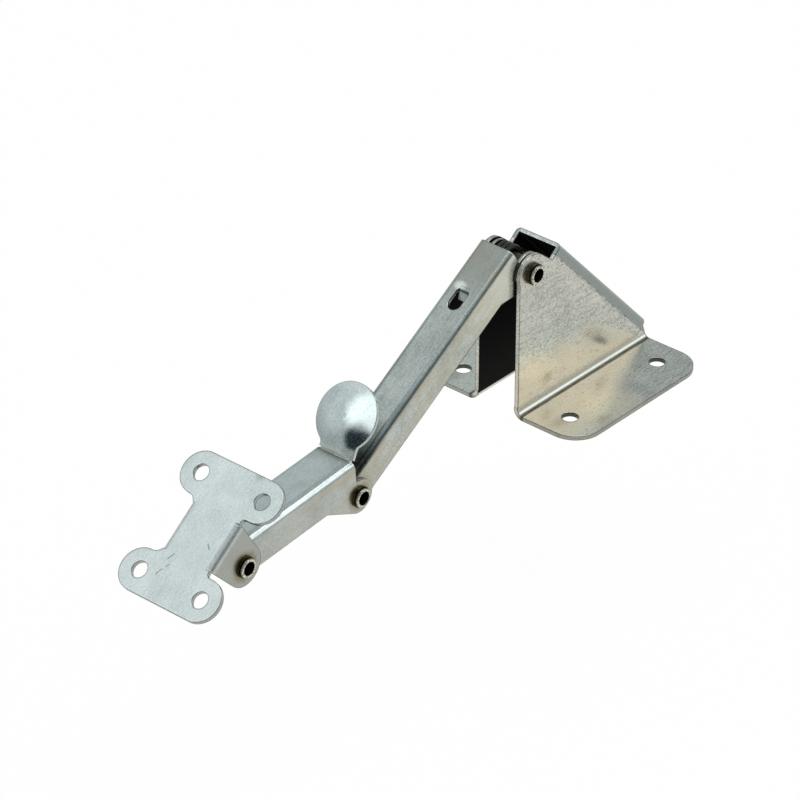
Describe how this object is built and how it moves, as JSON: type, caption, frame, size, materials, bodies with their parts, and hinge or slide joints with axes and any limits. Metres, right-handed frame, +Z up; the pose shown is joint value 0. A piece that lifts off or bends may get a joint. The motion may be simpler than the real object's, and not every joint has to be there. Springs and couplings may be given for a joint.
{
  "type": "folding stay hinge",
  "caption": "Spring-loaded folding stay hinge of plated sheet steel: footed bracket, channel arms on tubular rivets, a thumb tab at the elbow and a waisted end plate for the door.",
  "frame": {"origin": "centre of the four foot holes, on the mounting plane under the feet", "axes": "+X along the arms to the end plate, +Y along the pins, +Z up out of the mounting plane"},
  "size_m": [0.2242, 0.0694, 0.0617],
  "materials": {
    "bracket_zinc": "bright zinc plate, dark inside",
    "arm_zinc": "bright zinc plate",
    "plate_zinc": "bright zinc plate",
    "rivet_steel": "bright rolled rim, dark bore",
    "washer_steel": "olive brown, oily",
    "spacer_zinc": "bright zinc plate",
    "friction_disc": "matt",
    "sleeve_steel": "plain steel",
    "spring_wire": "black, oiled"
  },
  "bodies": {
    "base": {"base_bracket": "bracket_zinc", "base_rivet": "rivet_steel", "base_washer_near": "washer_steel", "base_washer_far": "washer_steel", "base_spacer_near": "spacer_zinc", "base_spacer_far": "spacer_zinc", "spring_sleeve": "sleeve_steel", "torsion_spring": "spring_wire"},
    "upper": {"upper_arm": "arm_zinc", "elbow_sleeve": "sleeve_steel"},
    "lower": {"lower_arm": "arm_zinc", "elbow_rivet": "rivet_steel", "elbow_washer_near": "washer_steel", "elbow_washer_far": "washer_steel", "plate_sleeve": "sleeve_steel"},
    "plate": {"end_plate": "plate_zinc", "plate_rivet": "rivet_steel", "plate_washer_near": "washer_steel", "plate_washer_far": "washer_steel", "plate_friction_near": "friction_disc", "plate_friction_far": "friction_disc"}
  },
  "joints": [
    {"name": "base_pivot", "type": "hinge", "parent": "base", "child": "upper", "pos_m": [0.0262, 0, 0.0514], "axis": [0, -1, 0], "range_deg": [0, 110], "stiffness_Nm_per_rad": 0.15, "deforming": ["torsion_spring"]},
    {"name": "elbow", "type": "hinge", "parent": "upper", "child": "lower", "pos_m": [0.10812, 0, 0.00698], "axis": [0, 1, 0], "range_deg": [-15, 150]},
    {"name": "plate_pivot", "type": "hinge", "parent": "lower", "child": "plate", "pos_m": [0.16267, 0, 0.00935], "axis": [0, 1, 0], "range_deg": [-40, 70]}
  ]
}
